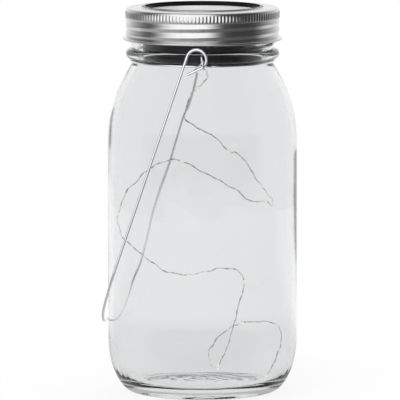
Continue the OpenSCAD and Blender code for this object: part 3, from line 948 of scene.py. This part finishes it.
class LANTERN_OT_bail(bpy.types.Operator):
    """Adds the bail of bright wire, hook to hook"""
    bl_idname = "lantern.bail"
    bl_label = "Bail"

    def execute(self, context):
        bail = setting("bail")
        place = self.resting(bail)
        wire = tube("bail_wire", [place(point) for point in self.route(bail)], bail.wire, 20)
        dress(wire, bpy.data.materials["bright_drawn_wire"], "bail", ["bail"])
        return {"FINISHED"}

    def route(self, bail):
        """Points from hook to hook, with the legs hanging along Z on either side of the X axis."""
        span, corner, foot = bail.half_span, bail.corner, bail.rise - bail.drop
        last = 180 - math.degrees(bail.sweep)
        bend = arc((bail.hook, bail.hook_rise), bail.hook, last, 180, 36)
        tip = (bend[0][0] + bail.tail * math.sin(math.radians(last)),
               bend[0][1] - bail.tail * math.cos(math.radians(last)))
        hook = [Vector((x, -span, z)) for x, z in [tip] + bend]
        flat = span - corner
        crown = (flat ** 2 - corner ** 2 + bail.rise ** 2) / (2 * (bail.rise - corner))
        half = math.degrees(math.atan2(flat, crown - bail.rise))
        low = arc((-flat, foot), corner, 180, 270 - half, 14)
        low += arc((0, crown - bail.drop), crown, 270 - half, 270 + half, 24)[1:]
        low += arc((flat, foot), corner, 270 + half, 360, 14)[1:]
        return (hook + [Vector((0, y, z)) for y, z in low]
                + [Vector((-p.x, -p.y, p.z)) for p in reversed(hook)])

    def resting(self, bail):
        """Leans the bail about its hooks until its far end rests on the jar's side."""
        yaw = math.asin(bail.skew / bail.half_span)
        rest = setting("jar").body_radius + bail.gap + bail.wire
        shift = bail.line_shift
        reach = shift * math.cos(yaw) + math.sqrt(rest ** 2 - (shift * math.sin(yaw)) ** 2)
        lean = math.asin(reach / bail.drop)

        def place(p):
            x = p.x * math.cos(lean) + p.z * math.sin(lean)
            z = p.z * math.cos(lean) - p.x * math.sin(lean)
            return Vector((shift + x * math.cos(yaw) + p.y * math.sin(yaw),
                           p.y * math.cos(yaw) - x * math.sin(yaw), bail.line_height + z))

        return place


# --- The light unit ---


class LANTERN_OT_light_unit(bpy.types.Operator):
    """Adds the black housing and its window, and finishes the pieces it holds"""
    bl_idname = "lantern.light_unit"
    bl_label = "Light unit"

    def execute(self, context):
        black = plastic_material("glossy_black_plastic", (0.006, 0.006, 0.0065), 0.16, 500, 0.18)
        shell = self.housing()
        dress(shell, black, "light_unit", ["lid_housing"])
        window = self.window()
        dress(window, cover_material(), "light_unit", ["clear_cover"])
        steel = steel_material()
        rubber = plastic_material("black_rubber", (0.03, 0.03, 0.03), 0.7)
        finishes = {
            "gasket": rubber, "wire_grommet": rubber, "solar_cell": solar_material(),
            "circuit_board": board_material(), "board_screws": steel, "cover_screws": steel,
            "contact_spring": steel, "contact_plate": steel,
            "control_chip": plastic_material("chip_package", (0.02, 0.02, 0.022), 0.5),
            "choke_coil": banded_material("copper_winding", (0.45, 0.18, 0.08), (0.2, 0.08, 0.04),
                                          0.6 * MM, 2),
            "battery_cradle": black, "bottom_cover": black,
            "switch_case": plastic_material("switch_plastic", (0.6, 0.6, 0.58), 0.45),
            "switch_knob": plastic_material("knob_plastic", (0.75, 0.75, 0.74), 0.4),
            "battery": banded_material("cell_sleeve", (0.05, 0.32, 0.12), (0.04, 0.28, 0.10),
                                       9 * MM, 0),
            "inner_leads": plastic_material("lead_sleeve", (0.5, 0.03, 0.02), 0.4),
        }
        for node, material in finishes.items():
            dress(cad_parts[node], material)
        return {"FINISHED"}

    def housing(self):
        """The black cup with its flange and the rim round the window."""
        low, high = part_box("lid_housing")
        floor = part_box("solar_cell")[0].z
        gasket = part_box("gasket")[1].z
        flange, flange_top = high.x, gasket + 1.4 * MM
        cup, wall, edge, rim = 35 * MM, 1.5 * MM, 35.2 * MM, 0.2 * MM
        inside = cup - wall
        line = [(0, floor - wall), (inside, floor - wall), (inside, low.z + 0.3 * MM),
                (inside + 0.3 * MM, low.z), (cup - 0.3 * MM, low.z), (cup, low.z + 0.3 * MM),
                (cup, gasket), (flange - 0.3 * MM, gasket), (flange, gasket + 0.3 * MM),
                (flange, flange_top - 0.3 * MM), (flange - 0.3 * MM, flange_top),
                (edge + 0.2 * MM, flange_top), (edge, flange_top + 0.2 * MM)]
        line += arc((edge - rim, high.z - rim), rim, 0, 90, 5)
        line += arc((inside + 0.4 * MM + rim, high.z - rim), rim, 90, 180, 5)
        line += [(inside + 0.4 * MM, high.z - 1.25 * MM), (inside + 0.3 * MM, high.z - 1.35 * MM),
                 (inside + 0.05 * MM, high.z - 1.4 * MM), (inside, floor + 0.2 * MM),
                 (inside - 0.2 * MM, floor), (0, floor)]
        return soften(lathe("housing_shell", line, 160), 35)

    def window(self):
        """The clear disc over the solar cell, with its upper edge rounded."""
        low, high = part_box("clear_cover")
        radius, round_off = high.x, 0.25 * MM
        line = [(0, low.z), (radius, low.z)]
        line += arc((radius - round_off, high.z - round_off), round_off, 0, 90, 4)
        return soften(lathe("window_disc", line + [(0, high.z)], 128), 35)


# --- The studio ---


class LANTERN_OT_studio(bpy.types.Operator):
    """Adds the camera, the pale floor, the white backdrop and the soft lights"""
    bl_idname = "lantern.studio"
    bl_label = "Studio"

    def execute(self, context):
        studio = setting("studio")
        self.camera(studio)
        self.floor(studio)
        self.backdrop()
        self.lamps()
        context.scene.view_settings.view_transform = "Standard"
        return {"FINISHED"}

    def camera(self, studio):
        """A camera in front, a little above the jar and turned slightly down."""
        eye = Vector((studio.view_shift, -studio.camera_back, studio.camera_height))
        aim = Vector((studio.view_shift, 0, studio.aim_height))
        bpy.ops.object.camera_add(location=eye)
        camera = bpy.context.object
        camera.rotation_euler = (aim - eye).to_track_quat("-Z", "Y").to_euler()
        width = camera.data.sensor_width
        camera.data.lens = width * (aim - eye).length / studio.view_width
        camera.data.clip_end = 100
        bpy.context.scene.camera = camera

    def floor(self, studio):
        """White to the camera and through glass, with the jar's shadow; dimmer in reflections."""
        deselect()
        bpy.ops.mesh.primitive_circle_add(vertices=96, radius=studio.floor_radius,
                                          fill_type="NGON")
        floor = take("studio_floor")
        paint = Paint("pale_floor", Base_Color=studio.floor_colour, Roughness=0.9)
        x, y = paint.split(paint.places)[:2]
        away = (x * x + y * y).math("SQRT")
        far = away.between(0.05, 0.2)
        lit = y.between(-0.1, 0.3).math("MAXIMUM", away.between(0.3, 0.08) * 0.5)
        shine = lit.math("MAXIMUM", x.between(0.3, -0.3) * 0.4 + 0.12)
        camera, glossy, through = paint.rays("Camera", "Glossy", "Transmission")
        white = camera.math("MAXIMUM", through * (away.between(0.2, 0.85) * 0.08 + 0.92))
        glow = paint.node("ShaderNodeEmission", None, {"Color": white.math("MAXIMUM", shine)})
        part = white.math("MAXIMUM", glossy) * (far * 0.12 + 0.88)
        mix = paint.node("ShaderNodeMixShader", None,
                         {0: part, 1: paint.bsdf.outputs[0], 2: glow.outputs[0]})
        paint.plug(paint.output.inputs["Surface"], mix.outputs[0])
        dress(floor, paint.material)

    def backdrop(self):
        """White behind and through glass; a dim room with one soft window for reflections."""
        world = bpy.data.worlds.new("white_studio")
        bpy.context.scene.world = world
        world.use_nodes = True
        sky = Graph(world.node_tree)
        x, y, z = sky.split(sky.node("ShaderNodeTexCoord").outputs["Generated"])
        aside = x.math("ARCTAN2", y * -1) * (1 / DEGREE)
        up = z.math("ARCSINE") * (1 / DEGREE)
        camera, smooth_hit, passed = sky.rays("Camera", "Singular", "Transmission")
        window = aside.between(-90, -40) * aside.between(32, 2)
        window = window * up.between(-35, -18) * up.between(62, 42)
        behind = abs(aside).between(80, 170)
        soft_level, sharp_level, ceiling_level, dim_level = 1.45, 0.2, 0.3, 0.06
        window = window * (soft_level - smooth_hit * (soft_level - sharp_level))
        room = window + up.between(35, 75) * ceiling_level + behind + dim_level
        beside = abs(aside).between(55, 100) * 0.8 + 0.2
        seen = beside.math("MAXIMUM", 1 - sky.mirrored_once())
        room = passed * seen + (1 - passed) * room
        strength = camera + (1 - camera) * room
        glow = sky.node("ShaderNodeBackground", None, {"Color": strength})
        sky.node("ShaderNodeOutputWorld", None, {"Surface": glow.outputs[0]})

    def lamps(self):
        """Three soft lamps that no mirror or glass shows."""
        aim = Vector((0, 0, 0.15))
        for name, place, size, power in (
                ("key_softbox", (-0.95, -1.25, 0.75), 0.9, 9),
                ("top_softbox", (0.1, 0.2, 1.6), 1.2, 5),
                ("side_softbox", (1.5, -0.4, 0.6), 0.5, 3)):
            bpy.ops.object.light_add(type="AREA", location=place)
            lamp = bpy.context.object
            lamp.name = name
            lamp.data.size = size
            lamp.data.energy = power
            lamp.rotation_euler = (aim - Vector(place)).to_track_quat("-Z", "Y").to_euler()
            lamp.visible_camera = False
            lamp.visible_glossy = False
            lamp.visible_transmission = False


OPERATORS = (LANTERN_OT_studio, LANTERN_OT_light_string, LANTERN_OT_jar, LANTERN_OT_band,
             LANTERN_OT_neck_wire, LANTERN_OT_bail, LANTERN_OT_light_unit)


class LANTERN_PT_panel(bpy.types.Panel):
    """Lists the lantern's pieces in the sidebar"""
    bl_label = "Jar lantern"
    bl_space_type = "VIEW_3D"
    bl_region_type = "UI"
    bl_category = "Jar lantern"

    def draw(self, context):
        for operator in OPERATORS:
            self.layout.operator(operator.bl_idname)


CLASSES = (*SETTINGS.values(), *OPERATORS, LANTERN_PT_panel)


def register():
    for item in CLASSES:
        bpy.utils.register_class(item)
    for name, group in SETTINGS.items():
        setattr(bpy.types.Scene, name, PointerProperty(type=group))


def unregister():
    for name in SETTINGS:
        delattr(bpy.types.Scene, name)
    for item in reversed(CLASSES):
        bpy.utils.unregister_class(item)


def main():
    """Builds the lantern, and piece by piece."""
    register()
    for operator in OPERATORS:
        group, name = operator.bl_idname.split(".")
        getattr(getattr(bpy.ops, group), name)()


if __name__ == "__main__":
    main()
